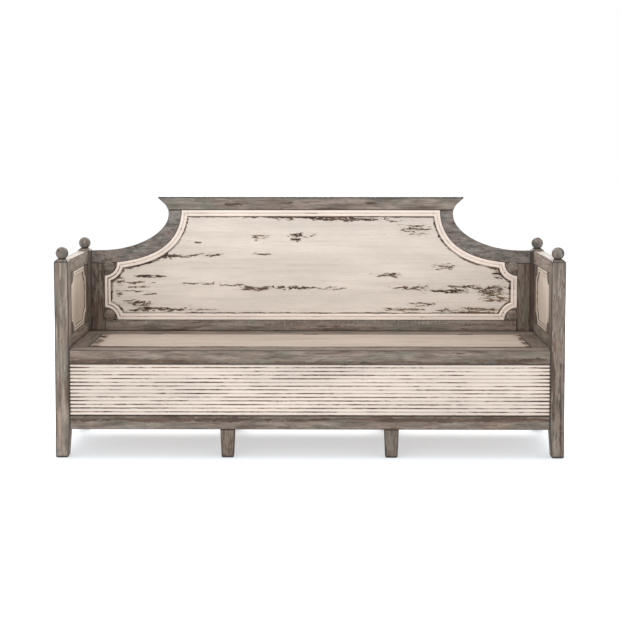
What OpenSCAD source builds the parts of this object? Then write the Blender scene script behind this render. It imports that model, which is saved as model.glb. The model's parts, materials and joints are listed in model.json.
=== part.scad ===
// Church pew with a shaped back, panelled arms and a storage box under a lift-up seat.
// +X runs along the pew, -Y faces the sitter's knees and +Z is up.
// The origin is on the floor, at the middle of the four corner posts.

/* [Overall] */
// Width over the corner posts
pew_w = 2134; // [1950:1:2300]
// Depth over the corner posts
pew_d = 610; // [580:1:660]
// Height of the seat
seat_h = 457; // [440:1:480]
// Height of the arm rails
arm_h = 828; // [810:1:850]
// Height of the crest rail
crest_h = 1072; // [1060:1:1110]
// Height of the underside of the box
leg_h = 121; // [100:1:140]

/* [Posts and legs] */
// Side of the square corner posts
post_w = 60; // [55:1:66]
// Radius of the ball finials
ball_r = 26.5; // [22:0.5:29]
// Width of the middle legs at the top
leg_w = 62; // [50:1:70]
// How far each leg's sides draw in towards the floor
leg_taper = 5; // [0:1:8]
// Distance of the middle legs from the centre
leg_x = 344; // [250:1:450]

/* [Rails] */
// Height of the bottom rails
rail_h = 57; // [50:1:64]
// Height of the seat rails
seat_rail_h = 60; // [54:1:66]
// Thickness of the bottom rails
rail_t = 40; // [36:1:44]
// Height of the back's bottom rail above the seat
back_rail_h = 52; // [46:1:60]
// Height of the crest rail and the arm rails
top_rail_h = 60; // [54:1:66]
// Thickness of the back and arm frames
frame_t = 32; // [28:1:36]

/* [Back] */
// Width of the stiles beside the rear posts
stile_w = 63; // [55:1:70]
// Half of the crest rail's length
crest_half = 697; // [670:1:720]
// Half of the back's width at its narrowest, under the crest
neck_half = 651; // [635:1:665]
// Half of the panel opening's width at the top
top_half = 589; // [575:1:600]
// Radius of the quarter-round blocks in the corners of the back
block_r = 57; // [45:1:62]
// Width of the moulding round the back panel
mould_w = 28; // [24:1:34]

/* [Reeded front] */
// Number of reeds
reeds = 14; // [10:1:18]
// How far the reeds stand out from their valleys
reed_rise = 5; // [4:0.5:6]

/* [Arms] */
// Width of the arm frames' stiles
arm_stile_w = 70; // [60:1:80]
// Radius of the quarter-round blocks in the corners of the arms
arm_block_r = 50; // [40:1:54]
// Width of the moulding round the arm panels
arm_mould_w = 21; // [18:1:26]

/* [Seat] */
// Thickness of the seat boards
board_t = 22; // [20:1:25]
// Depth of the fixed seat border at the front
border_front = 77; // [70:1:85]
// Depth of the fixed seat strip behind the lid
border_rear = 109; // [100:1:120]
// Width of the fixed seat border beside the lid, from the posts' inner faces
border_side = 67; // [60:1:75]
// Number of boards in the lid
lid_boards_n = 4; // [3:1:6]
// Number of boards in the floor of the box
floor_boards_n = 12; // [8:1:14]

/* [Hinges] */
// Length of each hinge
hinge_l = 64; // [50:2:76]
// Distance of the outer hinges from the centre
hinge_x = 700; // [500:10:800]

/* [Hidden] */
$fn = 48;

// Paint and metal
grey = [0.42, 0.39, 0.36];
cream = [0.87, 0.83, 0.78];
bare = [0.55, 0.42, 0.30];
iron = [0.22, 0.20, 0.19];

half_w = pew_w / 2;
half_d = pew_d / 2;
post_in_x = half_w - post_w;
post_in_y = half_d - post_w;
inside_z = [leg_h + rail_h, seat_h - seat_rail_h];

// Front plane of each layer of the front
rail_front_y = -half_d + 3;
seat_rail_front_y = -half_d + 1;
lid_front_y = -half_d + border_front;
reed_front_y = -half_d + 7;
tongue = 10;
tenon_l = 26;
side_tenon_l = 22;

// Back frame, which stands between the rear posts
back_y = half_d - 46;
rear_rail_y = back_y;
panel_y = back_y + 5;
panel_t = 14;
mould_top_y = back_y - 1;
open_x = post_in_x - stile_w;
open_z0 = seat_h + back_rail_h;
open_z1 = crest_h - top_rail_h;
open_side_z = arm_h - 59;

// Curves of the back, right half: crest end, shoulder and panel opening
crest_end = [[crest_half, crest_h - 5], [neck_half + 11, crest_h - 35],
             [neck_half + 10, crest_h - 36], [neck_half, open_z1]];
shoulder_top = [[neck_half, open_z1], [neck_half - 20, open_z1 - 93],
                [open_x - 156, arm_h], [open_x + 16, arm_h]];
opening_side = [[top_half, open_z1], [top_half + 4, open_z1 - 113],
                [open_x - 284, open_side_z + 11], [open_x, open_side_z]];

// Arm frames
arm_x = post_in_x + 10;
arm_open_y = post_in_y - arm_stile_w;
arm_open_z0 = open_z0;
arm_open_z1 = arm_h - top_rail_h;
arm_rail_w = 45;
arm_panel_x = arm_x + 5;

// Seat: the fixed strips and bearers, and the lid
fixed_t = board_t + 0.4;
bearer_top = seat_h - fixed_t;
hinge_y = back_y - border_rear;
edge_gap = 0.8;
lid_gap = 2;
lid_x = post_in_x - border_side;
lid_front_gap = 4;
lid_y0 = lid_front_y + lid_front_gap;
lid_y1 = hinge_y - edge_gap;
bearer_h = 22;
bearer_lap = 23;
rear_bearer = [40, 40];
board_gap = 0.6;
batten = [60, 20];
batten_x = [-600, 0, 600];

// Box floor
floor_z = leg_h + 21;
floor_t = 16;
floor_lap = 8;

// Hinges
leaf_t = 1.6;
leaf_h = 18;
barrel_r = 3.2;
pin_r = 1.6;
pin_clearance = 0.05;
barrels = 5;
barrel_l = hinge_l / barrels;
barrel_gap = 0.2;
pin_head = [2.6, 1.2];
screw_r = 1.5;
screw_head_r = 3;
screw_l = 14;
screw_x = [-0.34 * hinge_l, 0, 0.34 * hinge_l];
screw_z = seat_h - 12;
hinge_xs = [-hinge_x, 0, hinge_x];

function mirrored(points) = [for (i = [len(points) - 1 : -1 : 0]) [-points[i][0], points[i][1]]];

function bezier(p, t) =
    pow(1 - t, 3) * p[0] + 3 * pow(1 - t, 2) * t * p[1] + 3 * (1 - t) * t * t * p[2] + pow(t, 3) * p[3];

function bezier_slope(p, t) =
    pow(1 - t, 2) * (p[1] - p[0]) + 2 * (1 - t) * t * (p[2] - p[1]) + t * t * (p[3] - p[2]);

// A curve moved sideways by d, to its right as it runs
function curve(p, d = 0, steps = 20) =
    [for (i = [0 : steps])
        let (t = i / steps, s = bezier_slope(p, t))
        bezier(p, t) + d * [s[1], -s[0]] / norm(s)];

// Box from its low corner to its high corner
module block(low, high) {
    translate(low) cube(high - low);
}

// Extrusions of a (Y, Z) outline along X and of an (X, Z) outline along Y
module along_x(x0, x1) {
    translate([x0, 0, 0]) rotate([90, 0, 90]) linear_extrude(x1 - x0) children();
}
module along_y(y0, y1) {
    translate([0, y1, 0]) rotate([90, 0, 0]) linear_extrude(y1 - y0) children();
}

module both_sides() {
    children();
    mirror([1, 0, 0]) children();
}

module side(s) {
    mirror([s < 0 ? 1 : 0, 0, 0]) children();
}

// ---- Corner posts ----

cap_h = 11;
cap_in = 12;
foot_round = 5;

// Outline of a post from floor to cap; the inner side draws in below the rails
function post_outline(taper) = [
    [foot_round, 0], [post_w - taper - foot_round, 0], [post_w - taper, foot_round],
    [post_w, leg_h], [post_w, arm_h - 1], [post_w - cap_in, arm_h - 1 + cap_h],
    [cap_in, arm_h - 1 + cap_h], [0, arm_h - 1], [0, foot_round]
];

// A post at the left front corner; the others mirror it
module post_blank() {
    translate([-half_w, 0, 0]) intersection() {
        along_y(-half_d, -half_d + post_w) polygon(post_outline(8));
        translate([0, -half_d, 0]) along_x(0, post_w) polygon(post_outline(4));
    }
}

module post(sx, sy) {
    difference() {
        mirror([sx > 0 ? 1 : 0, 0, 0]) mirror([0, sy > 0 ? 1 : 0, 0]) post_blank();
        post_mortises();
        finial(sx, sy);
    }
}

module post_mortises() {
    long_rail_tenons(rail_front_y, leg_h, rail_h);
    long_rail_tenons(seat_rail_front_y, inside_z[1], seat_rail_h);
    long_rail_tenons(rear_rail_y, leg_h, rail_h);
    long_rail_tenons(rear_rail_y, inside_z[1], seat_rail_h);
    both_sides() {
        side_rail_tenons(leg_h, leg_h + rail_h);
        side_rail_tenons(inside_z[1], arm_open_z0);
        side_rail_tenons(arm_open_z1, arm_h);
        shoulder_post_tenon();
    }
}

// ---- Ball finials ----

neck_r = 14;
dowel_r = 9;
dowel_l = 22;
ball_z = arm_h + 33;

module finial(sx, sy) {
    translate([sx * (half_w - post_w / 2), sy * (half_d - post_w / 2), 0]) {
        translate([0, 0, ball_z]) sphere(ball_r);
        translate([0, 0, arm_h - 1 + cap_h]) cylinder(h = 12, r = neck_r);
        translate([0, 0, arm_h - 1 + cap_h - dowel_l]) cylinder(h = dowel_l + 1, r = dowel_r);
    }
}

// ---- Middle legs ----

function leg_outline(w, taper) = [
    [-w / 2 + taper + foot_round, 0], [w / 2 - taper - foot_round, 0], [w / 2 - taper, foot_round],
    [w / 2, leg_h], [-w / 2, leg_h], [-w / 2 + taper, foot_round]
];

module leg_tenon(sx, y0) {
    translate([sx * leg_x, y0 + rail_t * 0.3, leg_h]) block([-15, -6, 0], [15, 6, 18]);
}

module leg(sx, y0) {
    translate([sx * leg_x, 0, 0]) intersection() {
        along_y(y0, y0 + rail_t) polygon(leg_outline(leg_w, leg_taper));
        translate([0, y0 + rail_t / 2, 0]) along_x(-leg_w, leg_w) polygon(leg_outline(rail_t, leg_taper / 2));
    }
    leg_tenon(sx, y0);
}

// ---- Long rails between the posts ----

// Tenons at both ends of a rail whose front face is at y0
module long_rail_tenons(y0, z0, h) {
    both_sides() block([post_in_x - 1, y0 + 12, z0 + 12], [post_in_x + tenon_l, y0 + 24, z0 + h - 12]);
}

module bottom_rail(y0) {
    difference() {
        union() {
            block([-post_in_x, y0, leg_h], [post_in_x, y0 + rail_t, leg_h + rail_h]);
            long_rail_tenons(y0, leg_h, rail_h);
        }
        box_floor_blank();
        leg_tenon(-1, y0);
        leg_tenon(1, y0);
        reeded_board();
        rear_board();
    }
}

// The seat rail is the front border of the seat too, so it widens behind the posts
module front_seat_rail() {
    color(grey) difference() {
        union() {
            translate([0, 0, inside_z[1]]) linear_extrude(seat_rail_h) polygon([
                [-post_in_x, seat_rail_front_y], [post_in_x, seat_rail_front_y], [post_in_x, -post_in_y],
                [arm_x, -post_in_y], [arm_x, lid_front_y], [-arm_x, lid_front_y],
                [-arm_x, -post_in_y], [-post_in_x, -post_in_y]
            ]);
            long_rail_tenons(seat_rail_front_y, inside_z[1], seat_rail_h);
        }
        reeded_board();
    }
}

module rear_seat_rail() {
    color(grey) difference() {
        union() {
            block([-post_in_x, rear_rail_y, inside_z[1]], [post_in_x, rear_rail_y + rail_t, seat_h]);
            long_rail_tenons(rear_rail_y, inside_z[1], seat_rail_h);
        }
        both_sides() stile_tenons();
        rear_board();
    }
}

// ---- Reeded front panel ----

reed_pitch = (inside_z[1] - inside_z[0]) / reeds;
reed_r = (pow(reed_pitch / 2, 2) + pow(reed_rise, 2)) / (2 * reed_rise);
board_y0 = reed_front_y + reed_rise + 0.5;
board_y1 = reed_front_y + 19;

module reeded_board() {
    block([-post_in_x, board_y0 + 2, inside_z[0] - tongue], [post_in_x, board_y1 - 2, inside_z[1] + tongue]);
}

module reeded_front_panel() {
    color(cream) union() {
        along_x(-post_in_x, post_in_x) {
            translate([board_y0, inside_z[0]]) square([board_y1 - board_y0, inside_z[1] - inside_z[0]]);
            for (i = [0 : reeds - 1])
                intersection() {
                    translate([reed_front_y + reed_r, inside_z[0] + (i + 0.5) * reed_pitch]) circle(reed_r);
                    translate([reed_front_y - 1, inside_z[0] + i * reed_pitch]) square([12, reed_pitch]);
                }
        }
        reeded_board();
    }
}

// ---- Back and sides of the box ----

box_panel_t = 12;

module rear_board() {
    block([-post_in_x, rear_rail_y + 12, inside_z[0] - tongue],
          [post_in_x, rear_rail_y + 12 + box_panel_t, inside_z[1] + tongue]);
}

module side_rail_tenons(z0, z1) {
    for (s = [-1, 1])
        translate([arm_x + 10, s * (post_in_y + side_tenon_l / 2), (z0 + z1) / 2])
            cube([12, side_tenon_l + 2, z1 - z0 - 30], center = true);
}

module side_board() {
    block([arm_x + 18, -post_in_y, inside_z[0] - tongue],
          [arm_x + 18 + box_panel_t, post_in_y, inside_z[1] + tongue]);
}

// A rail between the front and rear posts of the right side
module side_rail(z0, z1, w) {
    difference() {
        union() {
            block([arm_x, -post_in_y, z0], [arm_x + w, post_in_y, z1]);
            side_rail_tenons(z0, z1);
        }
        side_board();
        arm_board();
        arm_stile_tenons();
    }
}

module side_bottom_rail() {
    side_rail(leg_h, leg_h + rail_h, rail_t);
}

// ---- Arms, drawn on the right side ----

module arm_rail() {
    side_rail(arm_open_z1, arm_h, arm_rail_w);
}

module arm_lower_rail() {
    side_rail(inside_z[1], arm_open_z0, rail_t);
}

// Opening of the arm frame in (Y, Z), inset by d, with and without its notched corners
module arm_opening_plain(d) {
    translate([-arm_open_y + d, arm_open_z0 + d])
        square([2 * (arm_open_y - d), arm_open_z1 - arm_open_z0 - 2 * d]);
}

module arm_corners(r) {
    for (y = [-arm_open_y, arm_open_y], z = [arm_open_z0, arm_open_z1])
        translate([y, z]) circle(r);
}

module arm_opening(d) {
    difference() {
        arm_opening_plain(d);
        arm_corners(arm_block_r + d);
    }
}

module arm_board() {
    along_x(arm_panel_x, arm_panel_x + box_panel_t) arm_opening_plain(-8);
}

module arm_stile_tenons() {
    for (s = [-1, 1])
        translate([arm_x + 25, s * (arm_open_y + arm_stile_w / 2 + 4), (arm_open_z0 + arm_open_z1) / 2])
            cube([10, 34, arm_open_z1 - arm_open_z0 + 44], center = true);
}

module arm_stiles() {
    difference() {
        union() {
            for (s = [-1, 1])
                translate([arm_x, s * (arm_open_y + arm_stile_w / 2), 0])
                    block([0, -arm_stile_w / 2, arm_open_z0], [frame_t, arm_stile_w / 2, arm_open_z1]);
            arm_stile_tenons();
        }
        arm_board();
    }
}

// Two beads of the moulding on a thin base, between two insets of the opening
module arm_moulding() {
    along_x(arm_panel_x - 2, arm_panel_x) difference() {
        arm_opening(0);
        arm_opening(arm_mould_w);
    }
    along_x(arm_panel_x - 5, arm_panel_x - 2) {
        difference() {
            arm_opening(0);
            arm_opening(arm_mould_w * 0.45);
        }
        difference() {
            arm_opening(arm_mould_w * 0.6);
            arm_opening(arm_mould_w * 0.95);
        }
    }
}

module arm_corner_blocks() {
    color(grey) both_sides() along_x(arm_x - 1, arm_panel_x) intersection() {
        arm_opening_plain(0);
        arm_corners(arm_block_r);
    }
}

// ---- Back frame ----

// Outer outline of the back in (X, Z)
module back_outline() {
    right = concat([[crest_half, crest_h]], curve(crest_end), curve(shoulder_top),
                   [[post_in_x, arm_h], [post_in_x, seat_h]]);
    polygon(concat(right, mirrored(right)));
}

// Panel opening of the back, inset by d, with square corners and then with its notches
module opening_plain(d) {
    right = concat([[top_half - d, open_z1 + 40]], curve(opening_side, d),
                   [[open_x + 60, open_side_z - d], [open_x + 60, open_z0 - 60]]);
    intersection() {
        translate([-open_x + d, open_z0 + d]) square([2 * (open_x - d), open_z1 - open_z0 - 2 * d]);
        polygon(concat(right, mirrored(right)));
    }
}

module opening_corners(r) {
    for (x = [-open_x, open_x], z = [open_z0, open_side_z])
        translate([x, z]) circle(r);
}

module opening(d) {
    difference() {
        opening_plain(d);
        opening_corners(block_r + d);
    }
}

module back_board() {
    along_y(panel_y, panel_y + panel_t) opening_plain(-tongue);
}

// A piece of the back frame: the part of the outline inside one rectangle
module back_piece(x0, x1, z0, z1) {
    along_y(back_y, back_y + frame_t) difference() {
        intersection() {
            back_outline();
            translate([x0, z0]) square([x1 - x0, z1 - z0]);
        }
        opening_plain(0);
    }
}

tenon_y = [panel_y + panel_t + 1, panel_y + panel_t + 11];
neck_mid = (top_half + neck_half) / 2;

module crest_tenon() {
    block([neck_mid - 16, tenon_y[0], open_z1 - 1], [neck_mid + 16, tenon_y[1], open_z1 + 32]);
}

module shoulder_post_tenon() {
    block([post_in_x - 1, tenon_y[0], open_side_z + 14], [post_in_x + tenon_l, tenon_y[1], arm_h - 14]);
}

// Stile tenons: up into the shoulder and down into the seat rail
module stile_tenons() {
    for (z = [seat_h, open_side_z])
        translate([open_x + stile_w / 2, 0, z]) block([-16, tenon_y[0], -20], [16, tenon_y[1], 26]);
}

module back_rail_tenon() {
    block([open_x - 1, tenon_y[0], seat_h + 28], [open_x + 14, tenon_y[1], open_z0 - 8]);
}

module crest_rail() {
    color(grey) difference() {
        back_piece(-crest_half, crest_half, open_z1, crest_h);
        both_sides() crest_tenon();
        back_board();
    }
}

module back_shoulder() {
    difference() {
        union() {
            back_piece(0, post_in_x, open_side_z, open_z1);
            crest_tenon();
            shoulder_post_tenon();
        }
        stile_tenons();
        back_board();
    }
}

module back_stile() {
    difference() {
        union() {
            back_piece(open_x, post_in_x, seat_h, open_side_z);
            stile_tenons();
        }
        back_rail_tenon();
        back_board();
    }
}

module back_bottom_rail() {
    color(grey) difference() {
        union() {
            back_piece(-open_x, open_x, seat_h, open_z0);
            both_sides() back_rail_tenon();
        }
        back_board();
    }
}

module back_corner_blocks() {
    color(grey) along_y(mould_top_y - 1, panel_y) intersection() {
        opening_plain(0);
        opening_corners(block_r);
    }
}

// Whole moulding of the back: a thin base with two beads on it
module back_moulding(x0, x1, z0, z1) {
    module ring(a, b) {
        intersection() {
            difference() {
                opening(a);
                opening(b);
            }
            translate([x0, z0]) square([x1 - x0, z1 - z0]);
        }
    }
    along_y(panel_y - 2.5, panel_y) ring(0, mould_w);
    along_y(mould_top_y, panel_y - 2.5) {
        ring(0, mould_w * 0.42);
        ring(mould_w * 0.56, mould_w * 0.93);
    }
}

mould_split_x = open_x - 82;
mould_split_z = (open_z0 + open_side_z) / 2;
mould_top_x = top_half - mould_w;

// ---- Seat ----

module seat_rear_strip() {
    color(grey) difference() {
        translate([0, 0, bearer_top]) linear_extrude(fixed_t) polygon([
            [-arm_x, hinge_y + edge_gap], [arm_x, hinge_y + edge_gap], [arm_x, post_in_y],
            [post_in_x, post_in_y], [post_in_x, back_y], [-post_in_x, back_y],
            [-post_in_x, post_in_y], [-arm_x, post_in_y]
        ]);
        hinge_recesses(1);
        hinge_screws(1);
    }
}

module seat_side_strip() {
    block([lid_x, lid_front_y, bearer_top], [arm_x, hinge_y + edge_gap, seat_h]);
}

// Strips under the edges that carry the lid and the fixed border
module seat_bearers() {
    inner_x = lid_x - bearer_lap;
    rear_y = hinge_y + 8;
    color(bare) {
        block([-inner_x, lid_front_y, bearer_top - bearer_h], [inner_x, lid_front_y + bearer_h, bearer_top]);
        both_sides()
            block([inner_x + board_gap, lid_front_y, bearer_top - bearer_h],
                  [arm_x, rear_y - board_gap, bearer_top]);
        block([-arm_x, rear_y, bearer_top - rear_bearer[1]], [arm_x, rear_y + rear_bearer[0], bearer_top]);
    }
}

module lid_boards() {
    pitch = (lid_y1 - lid_y0 + board_gap) / lid_boards_n;
    color(cream) difference() {
        for (i = [0 : lid_boards_n - 1])
            block([-lid_x + lid_gap, lid_y0 + i * pitch, seat_h - board_t],
                  [lid_x - lid_gap, lid_y0 + (i + 1) * pitch - board_gap, seat_h]);
        hinge_recesses(-1);
        hinge_screws(-1);
    }
}

module lid_battens() {
    color(bare) for (x = batten_x)
        block([x - batten[0] / 2, lid_y0 + 34, seat_h - board_t - batten[1]],
              [x + batten[0] / 2, lid_y1 - 25, seat_h - board_t]);
}

// ---- Box floor ----

module box_floor_blank() {
    block([-post_in_x, rail_front_y + rail_t - floor_lap, floor_z],
          [post_in_x, rear_rail_y + floor_lap, floor_z + floor_t]);
}

module box_floor_boards() {
    pitch = (2 * post_in_x + board_gap) / floor_boards_n;
    color(bare) for (i = [0 : floor_boards_n - 1])
        block([-post_in_x + i * pitch, rail_front_y + rail_t - floor_lap, floor_z],
              [-post_in_x + (i + 1) * pitch - board_gap, rear_rail_y + floor_lap, floor_z + floor_t]);
}

// ---- Hinges: s is 1 for the leaves on the fixed strip and -1 for those on the lid ----

module at_hinges() {
    for (x = hinge_xs) translate([x, hinge_y, seat_h]) children();
}

module rod(x0, x1, r) {
    translate([x0, 0, 0]) rotate([0, 90, 0]) cylinder(h = x1 - x0, r = r);
}

// Recess in a board's edge for one leaf and the knuckle
module hinge_recesses(s) {
    at_hinges() {
        rod(-hinge_l / 2 - 2, hinge_l / 2 + 2, barrel_r + 0.6);
        leaf_plate(s);
    }
}

module leaf_plate(s) {
    mirror([0, s < 0 ? 1 : 0, 0])
        block([-hinge_l / 2, edge_gap, -leaf_h], [hinge_l / 2, edge_gap + leaf_t, 0]);
}

// Every second barrel, starting at barrel k
module hinge_barrels(k, r, gap) {
    for (i = [k : 2 : barrels - 1])
        rod(-hinge_l / 2 + i * barrel_l + gap, -hinge_l / 2 + (i + 1) * barrel_l - gap, r);
}

module hinge_leaves(s) {
    first = s > 0 ? 0 : 1;
    bore = pin_r + (s > 0 ? 0 : pin_clearance);
    color(iron) difference() {
        at_hinges() difference() {
            union() {
                leaf_plate(s);
                hinge_barrels(first, barrel_r, barrel_gap / 2);
            }
            hinge_barrels(1 - first, barrel_r + 0.3, -barrel_gap / 2);
            rod(-hinge_l, hinge_l, bore);
        }
        hinge_screws(s);
    }
}

module hinge_pins() {
    reach = hinge_l / 2 + 0.2;
    color(iron) at_hinges() {
        rod(-reach, reach, pin_r);
        for (e = [-1, 1]) mirror([e < 0 ? 1 : 0, 0, 0]) rod(reach, reach + pin_head[1], pin_head[0]);
    }
}

// Countersunk screws through the leaves into the boards
module hinge_screws(s) {
    for (x = hinge_xs, dx = screw_x)
        translate([x + dx, hinge_y + s * edge_gap, screw_z]) rotate([s < 0 ? 90 : -90, 0, 0]) {
            cylinder(h = leaf_t, r1 = screw_head_r, r2 = screw_r);
            cylinder(h = screw_l, r = screw_r);
        }
}

// ---- Nodes ----

color(grey) post(-1, -1);  // post_front_left
color(grey) post(1, -1);  // post_front_right
color(grey) post(-1, 1);  // post_rear_left
color(grey) post(1, 1);  // post_rear_right
color(grey) finial(-1, -1);  // finial_front_left
color(grey) finial(1, -1);  // finial_front_right
color(grey) finial(-1, 1);  // finial_rear_left
color(grey) finial(1, 1);  // finial_rear_right
color(grey) leg(-1, rail_front_y);  // leg_front_left
color(grey) leg(1, rail_front_y);  // leg_front_right
color(grey) leg(-1, rear_rail_y);  // leg_rear_left
color(grey) leg(1, rear_rail_y);  // leg_rear_right
color(grey) bottom_rail(rail_front_y);  // front_bottom_rail
front_seat_rail();
reeded_front_panel();
color(grey) bottom_rail(rear_rail_y);  // rear_bottom_rail
rear_seat_rail();
color(grey) rear_board();  // rear_box_panel
color(grey) side(-1) side_bottom_rail();  // side_bottom_rail_left
color(grey) side(1) side_bottom_rail();  // side_bottom_rail_right
color(cream) side(-1) side_board();  // side_box_panel_left
color(cream) side(1) side_board();  // side_box_panel_right
color(grey) side(-1) arm_rail();  // arm_rail_left
color(grey) side(1) arm_rail();  // arm_rail_right
color(grey) side(-1) arm_lower_rail();  // arm_lower_rail_left
color(grey) side(1) arm_lower_rail();  // arm_lower_rail_right
color(grey) side(-1) arm_stiles();  // arm_stiles_left
color(grey) side(1) arm_stiles();  // arm_stiles_right
color(cream) side(-1) arm_board();  // arm_panel_left
color(cream) side(1) arm_board();  // arm_panel_right
color(cream) side(-1) arm_moulding();  // arm_moulding_left
color(cream) side(1) arm_moulding();  // arm_moulding_right
arm_corner_blocks();
crest_rail();
color(grey) side(-1) back_shoulder();  // back_shoulder_left
color(grey) side(1) back_shoulder();  // back_shoulder_right
color(grey) side(-1) back_stile();  // back_stile_left
color(grey) side(1) back_stile();  // back_stile_right
back_bottom_rail();
color(cream) back_board();  // back_panel
back_corner_blocks();
color(cream) back_moulding(-mould_top_x, mould_top_x, open_z1 - mould_w, open_z1);  // moulding_top
color(cream) back_moulding(-mould_split_x, mould_split_x, open_z0, mould_split_z);  // moulding_bottom
color(cream) side(-1) back_moulding(mould_top_x, mould_split_x, mould_split_z, open_z1);  // moulding_curve_left
color(cream) side(1) back_moulding(mould_top_x, mould_split_x, mould_split_z, open_z1);  // moulding_curve_right
color(cream) side(-1) back_moulding(mould_split_x, open_x, open_z0, open_side_z + 20);  // moulding_side_left
color(cream) side(1) back_moulding(mould_split_x, open_x, open_z0, open_side_z + 20);  // moulding_side_right
seat_rear_strip();
color(grey) side(-1) seat_side_strip();  // seat_side_strip_left
color(grey) side(1) seat_side_strip();  // seat_side_strip_right
seat_bearers();
box_floor_boards();
lid_boards();
lid_battens();
hinge_leaves(1);  // hinge_frame_leaves
hinge_leaves(-1);  // hinge_lid_leaves
hinge_pins();
color(iron) hinge_screws(1);  // hinge_frame_screws
color(iron) hinge_screws(-1);  // hinge_lid_screws
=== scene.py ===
"""Looks of the painted church pew: worn paint, moulded beads, chipped reeds and a soft studio."""

import json
import math

import bmesh
import bpy
import numpy as np
from mathutils import Matrix, Vector, noise
from mathutils.bvhtree import BVHTree


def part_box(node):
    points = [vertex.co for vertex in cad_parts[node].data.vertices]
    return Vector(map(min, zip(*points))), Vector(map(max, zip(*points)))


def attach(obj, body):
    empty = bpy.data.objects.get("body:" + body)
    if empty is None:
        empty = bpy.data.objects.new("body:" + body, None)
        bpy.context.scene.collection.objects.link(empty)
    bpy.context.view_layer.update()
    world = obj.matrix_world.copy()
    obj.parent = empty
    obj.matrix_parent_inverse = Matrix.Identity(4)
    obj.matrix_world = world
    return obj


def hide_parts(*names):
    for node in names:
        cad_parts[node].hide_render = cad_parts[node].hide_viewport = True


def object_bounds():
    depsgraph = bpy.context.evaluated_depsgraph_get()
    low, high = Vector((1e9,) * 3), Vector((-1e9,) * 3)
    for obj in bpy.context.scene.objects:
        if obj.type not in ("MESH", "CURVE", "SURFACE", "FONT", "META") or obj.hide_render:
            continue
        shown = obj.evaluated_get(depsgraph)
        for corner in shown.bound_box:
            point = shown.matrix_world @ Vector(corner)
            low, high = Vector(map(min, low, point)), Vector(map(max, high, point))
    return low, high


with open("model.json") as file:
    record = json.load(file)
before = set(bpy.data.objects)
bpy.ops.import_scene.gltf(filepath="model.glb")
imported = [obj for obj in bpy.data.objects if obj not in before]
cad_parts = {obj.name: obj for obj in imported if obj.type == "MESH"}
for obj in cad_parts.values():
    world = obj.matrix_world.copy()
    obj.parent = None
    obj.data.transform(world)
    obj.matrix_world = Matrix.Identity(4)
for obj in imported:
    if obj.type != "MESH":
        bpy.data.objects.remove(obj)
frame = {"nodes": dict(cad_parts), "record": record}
cad_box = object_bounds()
record = frame["record"]
body_of = {node: body for body, nodes in record["behaviour"]["bodies"].items() for node in nodes}
MM = 0.001

# ---------------------------------------------------------------- materials


class Graph:
    """A material's nodes. Most methods add a node or two and return the output."""

    def __init__(self, name):
        self.material = bpy.data.materials.new(name)
        self.material.use_nodes = True
        self.tree = self.material.node_tree
        self.shader = self.tree.nodes["Principled BSDF"]
        self.place = self.add("ShaderNodeTexCoord").outputs["Object"]

    def add(self, kind, inputs=(), **settings):
        node = self.tree.nodes.new(kind)
        for key, value in settings.items():
            setattr(node, key, value)
        for key, value in dict(inputs).items():
            self.feed(node.inputs[key], value)
        return node

    def feed(self, socket, value):
        if isinstance(value, bpy.types.NodeSocket):
            self.tree.links.new(value, socket)
        else:
            socket.default_value = value

    def math(self, operation, a, b=0.0):
        return self.add("ShaderNodeMath", {0: a, 1: b}, operation=operation).outputs[0]

    def vector(self, operation, a, b):
        return self.add("ShaderNodeVectorMath", {0: a, 1: b}, operation=operation).outputs[0]

    def stretched(self, scale, shift=(0, 0, 0)):
        """Places for a texture, scaled along each axis and moved so that no two textures agree."""
        return self.vector("ADD", self.vector("MULTIPLY", self.place, scale), shift)

    def noise(self, where, detail=4.0, rough=0.55, distortion=0.0):
        inputs = {"Vector": where, "Scale": 1.0, "Detail": detail, "Roughness": rough}
        inputs["Distortion"] = distortion
        return self.add("ShaderNodeTexNoise", inputs).outputs[0]

    def span(self, value, low, high, to_low=0.0, to_high=1.0, smooth=False):
        """The value's way from low to high, as a number from to_low to to_high."""
        inputs = {0: value, 1: low, 2: high, 3: to_low, 4: to_high}
        kind = "SMOOTHSTEP" if smooth else "LINEAR"
        return self.add("ShaderNodeMapRange", inputs, interpolation_type=kind, clamp=True).outputs[0]

    def mix(self, amount, a, b):
        node = self.add("ShaderNodeMix", data_type="RGBA")
        for key, value in {0: amount, 6: a, 7: b}.items():
            self.feed(node.inputs[key], (*value, 1) if isinstance(value, tuple) else value)
        return node.outputs[2]

    def weighted(self, *terms):
        """The sum of each value times its weight."""
        total = 0.0
        for value, weight in terms:
            total = self.math("ADD", total, self.math("MULTIPLY", value, weight))
        return total

    def scaled(self, colour, factor):
        return self.add("ShaderNodeVectorMath", {0: colour, "Scale": factor}, operation="SCALE").outputs[0]

    def coordinate(self, axis):
        return self.add("ShaderNodeSeparateXYZ", {0: self.place}).outputs[axis]

    def crevice(self, reach):
        """1 in corners and grooves, 0 in the open."""
        ao = self.add("ShaderNodeAmbientOcclusion", {"Distance": reach}, samples=10)
        return self.math("SUBTRACT", 1.0, ao.outputs["AO"])

    def bump(self, height, depth, strength=1.0):
        inputs = {"Height": height, "Distance": depth, "Strength": strength}
        self.feed(self.shader.inputs["Normal"], self.add("ShaderNodeBump", inputs).outputs[0])

    def finish(self, colour, roughness, specular=0.3):
        """Sends the colour and roughness to the shader, and returns the material."""
        self.feed(self.shader.inputs["Base Color"], colour)
        self.feed(self.shader.inputs["Roughness"], roughness)
        self.shader.inputs["Specular IOR Level"].default_value = specular
        return self.material


def along(axis, fine, coarse):
    """Texture scales that run long along the grain axis and fine across it."""
    return tuple(coarse if k == axis else fine for k in range(3))


X, Y, Z = range(3)

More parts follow.
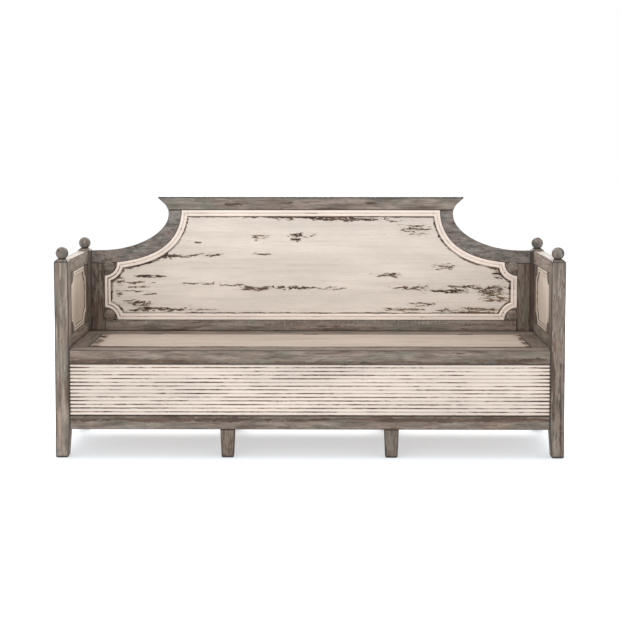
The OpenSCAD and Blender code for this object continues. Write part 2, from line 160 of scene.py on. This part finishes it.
# Colours are linear. Grey paint, and the wood and wear that show through it
GREY_GREEN = (0.192, 0.170, 0.138)
GREY_PINK = (0.270, 0.202, 0.166)
GREY_PALE = (0.410, 0.362, 0.318)
GREY_BROWN = (0.235, 0.158, 0.112)
DARK_FLAKE = (0.052, 0.038, 0.030)
PALE_SCUFF = (0.46, 0.43, 0.39)
# Painted shade and dirt for corners and grooves, and grime for worn edges
CREVICE_SHADE_AND_DIRT = (0.032, 0.023, 0.018)
EDGE_GRIME = (0.050, 0.041, 0.034)
DARK_BROWN = (0.048, 0.029, 0.021)
RED_BROWN = (0.108, 0.066, 0.046)
OCHRE = (0.225, 0.148, 0.080)

# Cream paint, on each kind of piece, its dirt and its painted shade
CREAM_BACK = (0.642, 0.572, 0.507)
CREAM_MOULD = (0.776, 0.672, 0.600)
CREAM_REEDS = (0.645, 0.563, 0.500)
CREAM_SEAT = (0.440, 0.367, 0.311)
# Painted light: the right arm's cream is the left's made lighter, as its inner face is the lit one
CREAM_SHADED_LEFT = (0.470, 0.390, 0.315)
CREAM_LIT_RIGHT = (0.583, 0.495, 0.422)
CREAM_ARM_MOULD = (0.56, 0.48, 0.40)
CREAM_STAIN = (0.40, 0.29, 0.20)
CREAM_SHADE_AND_DIRT = (0.070, 0.045, 0.032)
SOFT_SHADOW = (0.30, 0.225, 0.165)
DEEP_SHADOW = (0.080, 0.055, 0.040)
REAR_GREY = (0.150, 0.128, 0.105)
REAR_PALE = (0.235, 0.200, 0.168)

PINE_DARK = (0.30, 0.185, 0.100)
PINE_PALE = (0.50, 0.345, 0.205)
PINE_LINE = (0.20, 0.12, 0.065)
IRON = (0.060, 0.052, 0.047)
RUST = (0.170, 0.085, 0.045)


def brown_wood(g, axis):
    """The bare wood that shows where paint has gone."""
    streaks = g.noise(g.stretched(along(axis, 150, 12)), detail=6, rough=0.7)
    patch = g.noise(g.stretched(along(axis, 22, 7), (3, 1, 7)), detail=3)
    dark = g.mix(g.span(patch, 0.45, 0.64), DARK_BROWN, RED_BROWN)
    return g.mix(g.span(streaks, 0.54, 0.80), dark, OCHRE)


def patches_mask(g, patches):
    """Strength at the middle of each (x, z, half length, half height, strength) patch, fading out."""
    wander = 20 * MM
    wobble = g.noise(g.stretched((28, 28, 28)), detail=3, rough=0.6)
    place = g.vector("ADD", g.place, g.vector("MULTIPLY", wobble, (0, 0, wander)))
    total = 0.0
    for x, z, half_long, half_high, strength in patches:
        offset = g.vector("SUBTRACT", place, (x, 0, z + wander / 2))
        offset = g.vector("MULTIPLY", offset, (1 / half_long, 0, 1 / half_high))
        length = g.add("ShaderNodeVectorMath", {0: offset}, operation="LENGTH").outputs["Value"]
        total = g.math("MAXIMUM", total, g.span(length, 1.8, 0.4, 0.0, strength, smooth=True))
    return total


def worn_edge(g):
    """1 on the rounded edges of the eased pieces."""
    return g.add("ShaderNodeAttribute", attribute_name="worn_edge").outputs["Fac"]


def whole_grey(g, streak, mottle, patch, splinter, tone, warmth):
    """The grey paint where it is whole: green, pink, brown and pale greys in mottled layers."""
    paint = g.mix(g.span(patch, 0.40, 0.60), GREY_GREEN, GREY_PINK)
    paint = g.mix(g.span(streak, 0.50, 0.74, 0.0, 0.55), paint, GREY_PALE)
    paint = g.mix(g.span(splinter, 0.50, 0.60, 0.0, 0.45), paint, GREY_BROWN)
    paint = g.vector("MULTIPLY", paint, (tone * (1 + warmth), tone, tone * (1 - warmth)))
    mottle_shade = g.span(mottle, 0.34, 0.66, 0.64, 1.36)
    streak_shade = g.span(streak, 0.36, 0.62, 0.70, 1.18)
    return g.scaled(paint, g.math("MULTIPLY", mottle_shade, streak_shade))


def scuffed(g, colour, flecks, splinter, flaky):
    """The colour with pale flecks and scuffs over it."""
    fleck = g.span(flecks, 0.66, 0.72, 0.0, 0.55)
    scrape = g.span(splinter, 0.39, 0.35, 0.0, 0.35 * flaky)
    return g.mix(g.math("MAXIMUM", fleck, scrape), colour, PALE_SCUFF)


def upright_ticks(g, height):
    """Short pale brush marks that stand upright above the given height."""
    ticks = g.noise(g.stretched((170, 170, 22), (4, 4, 4)), detail=3, rough=0.6)
    above = g.span(g.coordinate("Z"), height, height + 8 * MM)
    return g.math("MULTIPLY", g.span(ticks, 0.56, 0.64, 0.0, 0.6), above)


def grey_paint(
    name, axis, tone, wear, patches=(), flaky=0.3, run=1.0, edge_dirt=0.88, warmth=0.0, ticks_above=None
):
    """Matt grey paint, rubbed through to brown along the grain and at the edges.

    tone is its lightness, wear how much is rubbed off, flaky how much has lifted, and run how
    short its grain is.
    """
    g = Graph("grey_paint_" + name)
    streak = g.noise(g.stretched(along(axis, 68, 5 * run)), detail=7, rough=0.70)
    mottle_places = g.stretched(along(axis, 56, 9 * run), (3, 9, 5))
    mottle = g.noise(mottle_places, detail=7, rough=0.74, distortion=0.3)
    patch = g.noise(g.stretched(along(axis, 13, 4.5 * run), (1, 8, 4)), detail=5, rough=0.62)
    splinter_places = g.stretched(along(axis, 64, 7 * run), (5, 3, 9))
    splinter = g.noise(splinter_places, detail=5, rough=0.66, distortion=0.5)
    flecks = g.noise(g.stretched(along(axis, 150, 70), (6, 2, 8)), detail=3, rough=0.7)
    edge = worn_edge(g)
    crevice = g.crevice(16 * MM)
    rubbed = g.weighted((streak, 0.45), (mottle, 0.33), (patch, 0.22), (edge, 0.06), (crevice, 0.12))
    if patches:
        rubbed = g.weighted((rubbed, 1.0), (patches_mask(g, patches), 0.16))
    start = 0.60 - 0.055 * wear
    bare = g.span(rubbed, start, start + 0.035, smooth=True)
    lifted = g.span(splinter, 0.555, 0.600, 0.0, flaky)
    colour = whole_grey(g, streak, mottle, patch, splinter, tone, warmth)
    colour = g.mix(g.math("MULTIPLY", bare, 0.85), colour, brown_wood(g, axis))
    colour = g.mix(lifted, colour, DARK_FLAKE)
    colour = scuffed(g, colour, flecks, splinter, flaky)
    if ticks_above is not None:
        colour = g.mix(upright_ticks(g, ticks_above), colour, PALE_SCUFF)
    # Painted shade and dirt: darker in corners and grooves, where ambient occlusion finds them
    colour = g.mix(g.span(crevice, 0.22, 0.80, 0.0, 0.68), colour, CREVICE_SHADE_AND_DIRT)
    grime = g.math("MULTIPLY", edge, g.span(mottle, 0.38, 0.62, edge_dirt, 0.57 * edge_dirt))
    colour = g.mix(grime, colour, EDGE_GRIME)
    g.bump(g.weighted((mottle, 0.5), (bare, -0.6), (lifted, -0.5)), 1.4 * MM, 0.7)
    return g.finish(colour, g.span(bare, 0.0, 1.0, 0.62, 0.78))


def whole_cream(g, base, fine, streak, patch, streaky):
    """The cream paint where it is whole, paler in patches and tanned in streaks."""
    pale = tuple(min(0.9, 1.14 * value) for value in base)
    tan = tuple(value * share for value, share in zip(base, (0.80, 0.776, 0.744)))
    paint = g.mix(g.span(patch, 0.40, 0.62), base, pale)
    paint = g.mix(g.span(streak, 0.48, 0.72, 0.0, streaky), paint, tan)
    return g.scaled(paint, g.span(fine, 0.30, 0.70, 0.93, 1.05))


def cracks(g, axis, across, patches):
    """Ragged cracks that follow the grain inside the patches."""
    where = g.stretched(along(axis, 46 * across, 10), (8, 8, 3))
    wander = g.noise(where, detail=6, rough=0.62, distortion=0.6)
    off_line = g.math("ABSOLUTE", g.math("SUBTRACT", wander, 0.5))
    return g.math("MULTIPLY", patches_mask(g, patches), g.span(off_line, 0.055, 0.015, 0.120, 0.285))


def groove_wear_and_shade(g, near, strength):
    """Paint lost in the grooves, and how much painted shade the paint left there takes."""
    lost = g.noise(g.stretched((3.4, 60, 62), (9, 0, 3)), detail=4, rough=0.6)
    faded = g.noise(g.stretched((2.6, 40, 46), (1, 7, 5)), detail=4, rough=0.6)
    loss = g.math("MULTIPLY", near, g.span(lost, 0.40, 0.66, 0.0, 0.30))
    shadow = g.math("MULTIPLY", near, g.span(faded, 0.38, 0.62, 0.45 * strength, 1.2 * strength))
    return loss, shadow


def grey_rear(g, colour, streak, fine, rear_y):
    """Plain grey instead of the colour, on a board's rear face."""
    plain = g.mix(g.span(streak, 0.35, 0.65), REAR_GREY, REAR_PALE)
    plain = g.scaled(plain, g.span(fine, 0.30, 0.70, 0.80, 1.15))
    return g.mix(g.span(g.coordinate("Y"), rear_y - 2 * MM, rear_y - 1 * MM), colour, plain)


def cream_paint(
    name, axis, base, chips, patches=(), streaky=0.5, groove=None, across=1.0, crevice_shade_and_wear=0.75, rear_y=None
):
    """Cream paint that has flaked along the grain to dark wood, first of all in its grooves.

    chips is how much has flaked off, groove is (mask, strength, shadow colour), and across is how
    fine the grain is across the board.
    """
    g = Graph("cream_paint_" + name)
    fine = g.noise(g.stretched(along(axis, 180, 20), (2, 2, 2)), detail=6, rough=0.7)
    streak = g.noise(g.stretched(along(axis, 70 * across, 2.6), (2, 6, 1)), detail=5, rough=0.6)
    patch = g.noise(g.stretched(along(axis, 9, 2.2), (4, 4, 2)), detail=4)
    flake_places = g.stretched(along(axis, 125 * across, 26), (7, 3, 5))
    flakes = g.noise(flake_places, detail=6, rough=0.72, distortion=0.8)
    crevice = g.crevice(9 * MM)
    amount = g.weighted((flakes, 0.72), (fine, 0.28), (crevice, 0.19 * crevice_shade_and_wear), (worn_edge(g), 0.03))
    if patches:
        amount = g.math("ADD", amount, cracks(g, axis, across, patches))
    shadow = 0.0
    shadow_colour = base
    if groove:
        mask, strength, shadow_colour = groove
        loss, shadow = groove_wear_and_shade(g, mask(g), strength)
        amount = g.math("ADD", amount, loss)
    start = 0.675 - 0.06 * chips
    bare = g.span(amount, start, start + 0.022, smooth=True)
    stain = g.span(amount, start - 0.075, start + 0.01, 0.0, 0.42)
    wood = g.mix(g.span(patch, 0.52, 0.58, 0.0, 0.6), brown_wood(g, axis), OCHRE)
    colour = g.mix(stain, whole_cream(g, base, fine, streak, patch, streaky), CREAM_STAIN)
    colour = g.mix(shadow, colour, shadow_colour)
    colour = g.mix(bare, colour, wood)
    # Painted shade and dirt: darker in corners and grooves, where ambient occlusion finds them
    colour = g.mix(g.span(crevice, 0.30, 0.80, 0.0, crevice_shade_and_wear), colour, CREAM_SHADE_AND_DIRT)
    if rear_y is not None:
        colour = grey_rear(g, colour, streak, fine, rear_y)
    g.bump(g.weighted((fine, 0.3), (bare, -1.0)), 1.0 * MM, 0.8)
    return g.finish(colour, g.span(bare, 0.0, 1.0, 0.55, 0.80))


def raw_wood(name, axis):
    """Plain unpainted pine inside the box."""
    g = Graph(name)
    rings = g.noise(g.stretched(along(axis, 55, 2.5)), detail=4, rough=0.6, distortion=0.8)
    fine = g.noise(g.stretched(along(axis, 300, 12), (1, 1, 1)), detail=4)
    colour = g.mix(g.span(rings, 0.35, 0.65), PINE_DARK, PINE_PALE)
    colour = g.mix(g.span(fine, 0.5, 0.8, 0.0, 0.5), colour, PINE_LINE)
    g.bump(fine, 0.6 * MM, 0.5)
    return g.finish(colour, g.span(rings, 0.3, 0.7, 0.60, 0.75))


def old_iron(name):
    """Dark iron of the hinges and screws, with a little rust."""
    g = Graph(name)
    rust = g.noise(g.stretched((180, 180, 180)), detail=5, rough=0.7)
    colour = g.mix(g.span(rust, 0.50, 0.70), IRON, RUST)
    g.shader.inputs["Metallic"].default_value = 0.8
    g.bump(rust, 0.3 * MM, 0.6)
    return g.finish(colour, g.span(rust, 0.4, 0.7, 0.42, 0.75))


# Where the paint has gone: x, z, half length, half height, strength
BACK_CHIPS = [
    (-0.12, 0.979, 0.07, 0.012, 1.0), (-0.3, 0.982, 0.06, 0.006, 0.9), (-0.42, 0.982, 0.04, 0.006, 0.7),
    (0.02, 0.979, 0.12, 0.01, 1.0), (0.13, 0.97, 0.09, 0.011, 1.1), (0.25, 0.97, 0.1, 0.007, 1.0),
    (0.4, 0.965, 0.07, 0.006, 0.8), (0.47, 0.925, 0.09, 0.026, 0.7), (0.59, 0.93, 0.018, 0.036, 1.0),
    (-0.045, 0.898, 0.058, 0.009, 1.1), (-0.068, 0.876, 0.024, 0.007, 1.1),
    (-0.235, 0.888, 0.045, 0.012, 0.8), (-0.52, 0.862, 0.02, 0.007, 0.8),
    (-0.6, 0.802, 0.085, 0.007, 1.2), (-0.675, 0.798, 0.04, 0.016, 0.9),
    (-0.47, 0.808, 0.06, 0.008, 1.0), (-0.215, 0.81, 0.05, 0.004, 1.0), (-0.5, 0.676, 0.085, 0.006, 1.1),
    (-0.36, 0.668, 0.06, 0.006, 1.1), (-0.255, 0.655, 0.08, 0.01, 1.2), (-0.11, 0.656, 0.1, 0.008, 1.1),
    (0.06, 0.655, 0.11, 0.006, 0.9), (-0.8, 0.678, 0.07, 0.005, 1.2), (-0.79, 0.658, 0.08, 0.004, 1.1),
    (-0.8, 0.64, 0.06, 0.003, 1.0), (-0.872, 0.66, 0.02, 0.045, 1.0), (-0.735, 0.708, 0.065, 0.008, 1.1),
    (-0.735, 0.626, 0.032, 0.006, 1.1), (-0.79, 0.584, 0.07, 0.014, 0.9),
    (-0.72, 0.556, 0.13, 0.008, 1.2), (-0.56, 0.556, 0.11, 0.007, 1.0), (0.355, 0.714, 0.07, 0.012, 0.9),
    (0.48, 0.656, 0.09, 0.012, 1.0), (0.6, 0.75, 0.055, 0.016, 0.9), (0.66, 0.64, 0.12, 0.01, 0.95),
    (0.74, 0.66, 0.11, 0.008, 0.95), (0.83, 0.64, 0.08, 0.026, 1.0), (0.85, 0.604, 0.065, 0.012, 1.0),
    (0.505, 0.58, 0.06, 0.009, 1.1), (0.42, 0.555, 0.09, 0.007, 1.0), (0.72, 0.556, 0.15, 0.009, 1.0),
    (0.87, 0.72, 0.04, 0.03, 0.8),
]
CREST_WEAR = [
    (-0.64, 1.028, 0.05, 0.008, 0.5), (-0.355, 1.04, 0.036, 0.006, 0.9), (-0.12, 1.046, 0.04, 0.006, 0.7),
    (0.28, 1.043, 0.03, 0.007, 0.8), (0.09, 1.02, 0.08, 0.006, 0.7),
]
RAIL_WEAR = [
    (-0.7, 0.405, 0.3, 0.012, 0.9), (0.2, 0.403, 0.5, 0.008, 0.7), (0.8, 0.41, 0.18, 0.015, 0.8),
]
POST_WEAR = [(-1.012, 0.33, 0.01, 0.12, 0.8), (1.012, 0.33, 0.012, 0.15, 1.0)]
BOTTOM_WEAR = [(-0.5, 0.163, 0.55, 0.009, 0.75), (0.5, 0.163, 0.55, 0.009, 0.75)]
SEAT_CHIPS = [(-0.93, 0.447, 0.026, 1.0, 0.9), (0.932, 0.447, 0.016, 1.0, 0.8)]

REEDS = 14
reed_low, reed_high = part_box("reeded_front_panel")
reed_z0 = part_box("front_bottom_rail")[1].z
reed_z1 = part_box("front_seat_rail")[0].z
reed_pitch = (reed_z1 - reed_z0) / REEDS
MOULD_BASE = 2.5 * MM
mould_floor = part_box("moulding_top")[1].y - MOULD_BASE
lid_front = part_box("lid_boards")[0].y
arm_mould_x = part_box("arm_moulding_right")[0].x
back_rail_low, back_rail_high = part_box("back_bottom_rail")
back_rail_middle = (back_rail_low.z + back_rail_high.z) / 2


def reed_valleys(g):
    """1 along the valleys between reeds, and more near the board's ends."""
    from_middle = g.math("ABSOLUTE", g.coordinate("X"))
    ends = g.span(from_middle, reed_high.x - 90 * MM, reed_high.x - 10 * MM, 1.0, 3.5)
    turn = g.math("FRACT", g.math("DIVIDE", g.math("SUBTRACT", g.coordinate("Z"), reed_z0), reed_pitch))
    # Painted shade and paint loss: the underside of each reed gets more than its top
    off_centre = g.math("ABSOLUTE", g.math("SUBTRACT", turn, 0.56))
    return g.math("MULTIPLY", ends, g.span(off_centre, 0.26, 0.46, smooth=True))


def seat_front(g):
    """1 along the lid's front edge: a band of painted shadow standing for the gap to the front rail, where
    paint is also worn away.
    """
    return g.span(g.coordinate("Y"), lid_front + 34 * MM, lid_front + 18 * MM)


def mould_grooves(g):
    """The sunk parts of the back's mouldings, which get painted shade and lose paint: bare and darkest at
    the left end, still painted and lightly shaded elsewhere.
    """
    sunk = g.span(g.coordinate("Y"), mould_floor - 0.9 * MM, mould_floor - 0.3 * MM)
    # Painted shade and paint loss both scale with this, most at the left end
    wear = g.span(g.coordinate("X"), -0.87, -0.91, 0.32, 4.0)
    return g.math("MULTIPLY", sunk, wear)


def mould_shadow(g):
    """The line of bare wood and painted shadow on the back panel, along the inner edge of the moulding."""
    gap = g.add("ShaderNodeAttribute", attribute_name="mould_gap").outputs["Fac"]
    ragged = g.noise(g.stretched((16, 16, 30), (1, 5, 2)), detail=7, rough=0.75)
    towards_ends = g.span(g.math("ABSOLUTE", g.coordinate("X")), 0.50, 0.80, 1.0, 1.5)
    reach = g.math("MULTIPLY", g.span(ragged, 0.36, 0.64, 3 * MM, 11 * MM), towards_ends)
    return g.span(g.math("DIVIDE", gap, reach), 1.0, 0.6)


def arm_mould_grooves(g):
    """1 in the sunk parts of the arms' mouldings."""
    from_middle = g.math("ABSOLUTE", g.coordinate("X"))
    return g.span(from_middle, arm_mould_x + 1.0 * MM, arm_mould_x + 2.6 * MM)


post_grey_left = grey_paint(
    "post_left", Z, tone=0.90, wear=0.5, patches=POST_WEAR, flaky=0.45, warmth=0.02
)
post_grey_right = grey_paint(
    "post_right", Z, tone=0.79, wear=1.2, patches=POST_WEAR, flaky=0.9, warmth=0.02
)
leg_grey = grey_paint("legs", Z, tone=0.73, wear=1.5, flaky=0.65, warmth=0.04)
stile_grey = grey_paint("stiles", Z, tone=0.90, wear=1.8, flaky=0.7, edge_dirt=0.35, warmth=0.04)
crest_grey = grey_paint("crest", X, tone=0.90, wear=0.4, patches=CREST_WEAR, warmth=-0.03)
shoulder_grey = grey_paint(
    "shoulders", X, tone=0.85, wear=0.7, flaky=0.6, run=3, edge_dirt=0.3, warmth=-0.08
)
rail_grey = grey_paint("seat_rail", X, tone=0.83, wear=0.6, patches=RAIL_WEAR, flaky=0.35, warmth=0.01)
bottom_grey = grey_paint(
    "bottom_rail", X, tone=0.80, wear=0.8, patches=BOTTOM_WEAR, flaky=0.4, edge_dirt=0.6, warmth=0.01
)
back_rail_grey = grey_paint("back_rail", X, tone=0.92, wear=0.7, flaky=0.5, ticks_above=back_rail_middle)
rear_strip_grey = grey_paint("rear_strip", X, tone=0.85, wear=0.7)
arm_grey = grey_paint("arms", Y, tone=0.98, wear=0.7, flaky=0.4)
strip_grey = grey_paint("seat_sides", Y, tone=0.64, wear=0.9, flaky=0.5)
block_grey = grey_paint("blocks", X, tone=0.52, wear=0.7, flaky=0.4, run=4, edge_dirt=0.5)
boss_grey = grey_paint("bosses", X, tone=0.86, wear=0.3, run=4)
ball_grey = grey_paint("balls", Z, tone=0.70, wear=0.6, flaky=0.6, run=3, warmth=-0.05)
cream_back = cream_paint(
    "back", X, CREAM_BACK, chips=0.30, patches=BACK_CHIPS, streaky=0.45,
    groove=(mould_shadow, 0.80, DEEP_SHADOW), rear_y=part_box("back_panel")[1].y
)
cream_mould = cream_paint(
    "moulding", X, CREAM_MOULD, chips=0.3, streaky=0.2, groove=(mould_grooves, 0.32, DEEP_SHADOW), crevice_shade_and_wear=0.2
)
# Painted light: the right arm's inner panels take lighter cream than the left's, as they face the light
cream_arm = {
    "left": cream_paint("shaded_left_panels", Z, CREAM_SHADED_LEFT, chips=0.7),
    "right": cream_paint("lit_right_panels", Z, CREAM_LIT_RIGHT, chips=0.8),
}
cream_arm_mould = cream_paint(
    "arm_moulding", Z, CREAM_ARM_MOULD, chips=0.5, groove=(arm_mould_grooves, 0.8, DEEP_SHADOW)
)
cream_seat = cream_paint(
    "seat", X, CREAM_SEAT, chips=0.6, patches=SEAT_CHIPS, streaky=0.95,
    groove=(seat_front, 0.85, DEEP_SHADOW), across=0.45
)
# Painted shade along the reeds' valleys, with paint lost there too
cream_reeds = cream_paint(
    "reeds", X, CREAM_REEDS, chips=0.35, streaky=0.2, groove=(reed_valleys, 0.50, SOFT_SHADOW)
)
pine = {axis: raw_wood(f"pine_{'xyz'[axis]}", axis) for axis in (X, Y)}
iron = old_iron("old_iron")

# ---------------------------------------------------------------- pieces


def paint_mesh(obj, material, smooth=True):
    obj.data.materials.clear()
    obj.data.materials.append(material)
    obj.data.polygons.foreach_set("use_smooth", [smooth] * len(obj.data.polygons))


def keep_piece(obj, nodes, material, smooth=True):
    """Makes obj stand for CAD nodes of one body."""
    paint_mesh(obj, material, smooth)
    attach(obj, body_of[nodes[0]])
    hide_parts(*nodes)
    return obj


def new_object(name, bm):
    """A scene object from the mesh in bm."""
    mesh = bpy.data.meshes.new(name)
    bm.normal_update()
    bm.to_mesh(mesh)
    bm.free()
    obj = bpy.data.objects.new(name, mesh)
    bpy.context.scene.collection.objects.link(obj)
    return obj


def eased_copy(node, radius, shortest=14 * MM):
    """The node's solid with its long sharp edges rounded over, as hand tools and wear leave them."""
    bm = bmesh.new()
    bm.from_mesh(frame["nodes"][node].data)
    worn = bm.loops.layers.float.new("worn_edge")
    bmesh.ops.remove_doubles(bm, verts=bm.verts, dist=0.01 * MM)
    bmesh.ops.dissolve_limit(bm, angle_limit=math.radians(0.5), verts=bm.verts, edges=bm.edges)
    sharp = [
        edge for edge in bm.edges
        if edge.is_convex and edge.calc_length() > shortest and edge.calc_face_angle() > math.radians(35)
    ]
    rounded = bmesh.ops.bevel(
        bm, geom=sharp, offset=radius, segments=3, profile=0.6, affect="EDGES", clamp_overlap=False
    )
    for face in rounded["faces"]:
        for corner in face.loops:
            corner[worn] = 1.0
    low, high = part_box(node)
    for vert in bm.verts:
        vert.co = [min(max(place, least), most) for place, least, most in zip(vert.co, low, high)]
    bmesh.ops.triangulate(bm, faces=[f for f in bm.faces if len(f.verts) > 4])
    return new_object(node + "_eased", bm)


def eased(nodes, material, radius=2.5 * MM, shortest=14 * MM):
    """Puts an eased copy in the place of each node."""
    for node in nodes:
        piece = keep_piece(eased_copy(node, radius, shortest), [node], material)
        shade = piece.modifiers.new("flat faces", "WEIGHTED_NORMAL")
        shade.keep_sharp = True
        shade.weight = 80


def sides(*names):
    return [f"{name}_{side}" for name in names for side in ("left", "right")]


def corners(name):
    return [f"{name}_{end}_{side}" for end in ("front", "rear") for side in ("left", "right")]


MOULDINGS = sides("moulding_curve", "moulding_side") + ["moulding_top", "moulding_bottom"]
HINGES = [f"hinge_{body}_{part}" for body in ("frame", "lid") for part in ("leaves", "screws")]
HINGES.append("hinge_pins")

eased(["post_front_left", "post_rear_left"], post_grey_left, radius=4 * MM)
eased(["post_front_right", "post_rear_right"], post_grey_right, radius=4 * MM)
eased(corners("leg"), leg_grey, radius=4 * MM)
eased(sides("arm_stiles", "back_stile"), stile_grey, radius=2 * MM)
eased(["front_bottom_rail", "rear_bottom_rail"], bottom_grey, radius=3.5 * MM)
eased(["front_seat_rail", "rear_seat_rail", "rear_box_panel"], rail_grey, radius=3.5 * MM)
eased(["seat_rear_strip"], rear_strip_grey)
eased(["back_bottom_rail"], back_rail_grey)
eased(["crest_rail"], crest_grey, radius=4.5 * MM, shortest=9 * MM)
eased(sides("back_shoulder"), shoulder_grey, radius=3 * MM, shortest=9 * MM)
eased(sides("seat_side_strip"), strip_grey, radius=3 * MM)
eased(sides("side_bottom_rail", "arm_rail", "arm_lower_rail"), arm_grey, radius=3 * MM)
eased(["back_corner_blocks", "arm_corner_blocks"], block_grey, shortest=2 * MM)
for side, paint in cream_arm.items():
    eased([f"side_box_panel_{side}", f"arm_panel_{side}"], paint, radius=1 * MM)
eased(["lid_boards"], cream_seat, radius=1.5 * MM)
eased(["seat_bearers", "lid_battens"], pine[X], radius=1.5 * MM)
eased(["box_floor_boards"], pine[Y], radius=1.5 * MM)
eased(corners("finial"), ball_grey, radius=1 * MM)
eased(MOULDINGS, cream_mould, radius=1.6 * MM, shortest=3 * MM)
eased(sides("arm_moulding"), cream_arm_mould, radius=1 * MM, shortest=3 * MM)
for node in HINGES:
    frame["nodes"][node].data.materials.clear()
    frame["nodes"][node].data.materials.append(iron)


def corner_bosses():
    """A low round boss in each inner corner of the back's frame, outside the moulding's quarter rounds."""
    radius = 25 * MM
    rise = 4 * MM
    inset = 20 * MM
    low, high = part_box("back_corner_blocks")
    bm = bmesh.new()
    for x in (low.x + inset, high.x - inset):
        for z in (low.z + inset, high.z - inset):
            place = Matrix.Translation((x, low.y, z)) @ Matrix.Diagonal((radius, rise, radius, 1))
            bmesh.ops.create_uvsphere(bm, u_segments=40, v_segments=24, radius=1, matrix=place)
    bosses = new_object("corner_bosses", bm)
    paint_mesh(bosses, boss_grey)
    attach(bosses, "frame")


def tree_of(node):
    """The node's CAD surface, for finding the nearest point on it."""
    mesh = frame["nodes"][node].data
    return BVHTree.FromPolygons([v.co for v in mesh.vertices], [p.vertices for p in mesh.polygons])


def back_board():
    """The back panel, finely divided so that it knows how far each point is from the moulding."""
    cell = 4 * MM
    bm = bmesh.new()
    bm.from_mesh(frame["nodes"]["back_panel"].data)
    bmesh.ops.remove_doubles(bm, verts=bm.verts, dist=0.01 * MM)
    low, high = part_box("back_panel")
    for axis in (X, Z):
        normal = Vector([float(k == axis) for k in range(3)])
        for cut in np.arange(low[axis] + cell, high[axis], cell):
            everything = bm.verts[:] + bm.edges[:] + bm.faces[:]
            bmesh.ops.bisect_plane(bm, geom=everything, plane_co=normal * cut, plane_no=normal)
    trees = [tree_of(node) for node in MOULDINGS]
    gap = bm.verts.layers.float.new("mould_gap")
    for vert in bm.verts:
        vert[gap] = min(tree.find_nearest(vert.co)[3] for tree in trees)
    keep_piece(new_object("back_board", bm), ["back_panel"], cream_back, smooth=False)


def reed_depth(x, z, arch):
    """How far the reeds lie behind the board's front, with planed waves and chips in their crests."""
    rise = 5 * MM
    wave = 0.175 * MM * noise.noise(Vector((x * 9, z * 160, 2.0)))
    chip = 4.8 * MM * max(0.0, noise.noise(Vector((x * 30, z * 210, 7.0))) - 0.42)
    return max(0.0, rise * (1 - arch) + (wave + chip) * (0.4 + 0.6 * arch))


def reed_rows(bm, xs):
    """Rows of vertices along the board, from its lowest valley to its highest."""
    around = 9
    rows = []
    for step in range(REEDS * around + 1):
        turns = step / around
        z = reed_z0 + turns * reed_pitch
        # A parabolic arch from valley to valley
        arch = 1 - (2 * (turns % 1) - 1) ** 2
        rows.append([bm.verts.new((x, reed_low.y + reed_depth(x, z, arch), z)) for x in xs])
    return rows


def reeded_board():
    """The front board, with half-round reeds on its face."""
    steps_x = 420
    xs = np.linspace(reed_low.x, reed_high.x, steps_x)
    bm = bmesh.new()
    rows = reed_rows(bm, xs)
    # The board's back, ends and edges close the piece
    back_low = [bm.verts.new((x, reed_high.y, reed_z0)) for x in xs]
    back_high = [bm.verts.new((x, reed_high.y, reed_z1)) for x in xs]
    ring = [back_low] + rows + [back_high, back_low]
    for low, high in zip(ring, ring[1:]):
        for k in range(steps_x - 1):
            bm.faces.new((low[k], low[k + 1], high[k + 1], high[k]))
    for k in (0, -1):
        bm.faces.new([row[k] for row in ring[:-1]])
    bmesh.ops.recalc_face_normals(bm, faces=bm.faces)
    keep_piece(new_object("reeded_board", bm), ["reeded_front_panel"], cream_reeds)


corner_bosses()
back_board()
reeded_board()

# ---------------------------------------------------------------- stage, light and camera


def studio_floor():
    """White paper: partly lit from within, as a backlit sweep is, so that its shadows stay pale."""
    bpy.ops.mesh.primitive_plane_add(size=60)
    floor = bpy.context.object
    floor.name = "studio_floor"
    g = Graph("studio_white")
    tone = g.noise(g.stretched((0.4, 0.4, 0.4)), detail=2)
    cool_white = (0.845, 0.925, 1.0, 1)
    paper_grey = (0.59, 0.59, 0.59)
    paper_pale = (0.61, 0.61, 0.61)
    g.shader.inputs["Emission Color"].default_value = cool_white
    g.shader.inputs["Emission Strength"].default_value = 0.494
    colour = g.mix(tone, paper_grey, paper_pale)
    floor.data.materials.append(g.finish(colour, 0.9, specular=0.0))


def area_light(name, place, aim, size, power):
    """A soft box of the given size in metres and power in watts."""
    data = bpy.data.lights.new(name, "AREA")
    data.shape = "RECTANGLE"
    data.size = size[0]
    data.size_y = size[1]
    data.energy = power
    light = bpy.data.objects.new(name, data)
    light.location = place
    light.rotation_euler = (Vector(aim) - Vector(place)).to_track_quat("-Z", "Y").to_euler()
    bpy.context.scene.collection.objects.link(light)


def studio_camera():
    """The fitted viewpoint: a long lens a little above the crest, right of the middle."""
    distance = 5.659
    height = 1.3534
    across = 0.0517
    tilt = 0.0620
    yaw = 0.0088
    data = bpy.data.cameras.new("camera")
    data.sensor_width = 36
    data.lens = 79.2697
    data.shift_y = -0.145
    data.clip_end = 200
    camera = bpy.data.objects.new("camera", data)
    camera.location = (across, cad_box[0].y - distance, height)
    camera.rotation_euler = (math.pi / 2 - tilt, 0, yaw)
    bpy.context.scene.collection.objects.link(camera)
    bpy.context.scene.camera = camera


def white_world():
    """Even white light from all around."""
    world = bpy.data.worlds.new("studio")
    world.use_nodes = True
    world.node_tree.nodes["Background"].inputs["Color"].default_value = (1, 1, 1, 1)
    world.node_tree.nodes["Background"].inputs["Strength"].default_value = 1.0
    bpy.context.scene.world = world
    bpy.context.scene.view_settings.view_transform = "Standard"


studio_floor()
white_world()
area_light("overhead", place=(0, 0, 5), aim=(0, 0, 0), size=(5, 1.6), power=95)
area_light("behind", place=(0, 4.5, 3.2), aim=(0, 0.2, 0), size=(5, 1.5), power=310)
area_light("front", place=(-1.5, -6, 2.4), aim=(0, 0, 0.6), size=(4, 3), power=90)
studio_camera()
